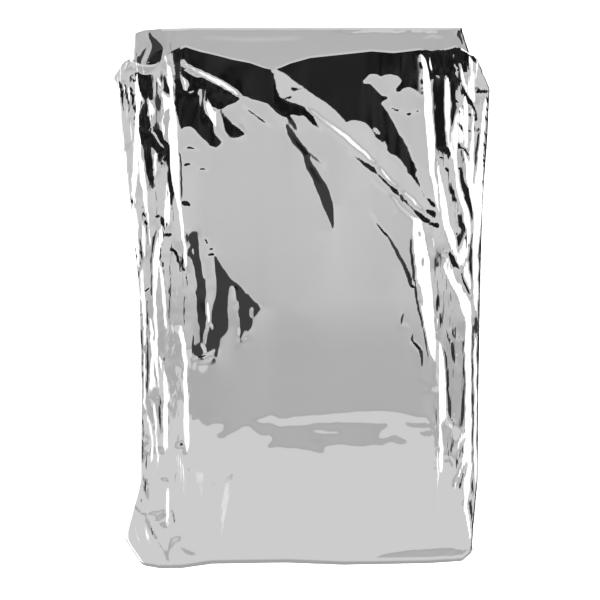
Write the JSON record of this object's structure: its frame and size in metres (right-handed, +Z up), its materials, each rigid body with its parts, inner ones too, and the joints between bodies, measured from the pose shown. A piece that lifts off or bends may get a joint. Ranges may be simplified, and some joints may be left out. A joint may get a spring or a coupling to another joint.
{
  "type": "folded emergency foil blanket",
  "caption": "Emergency blanket of metallised polyester film, folded into a flat rectangular packet.",
  "frame": {"origin": "centre of the packet's footprint, on the surface that it rests on", "axes": "+Z up, out of the front leaf; +Y along the packet's length, towards the end with the open leaf edges; +X to the right as the packet is seen from above"},
  "size_m": [0.083, 0.12, 0.0152],
  "materials": {
    "metallised_film": "bright metallised polyester film with fine creases"
  },
  "bodies": {
    "root": {"foil_sheet": "metallised_film"}
  },
  "joints": []
}
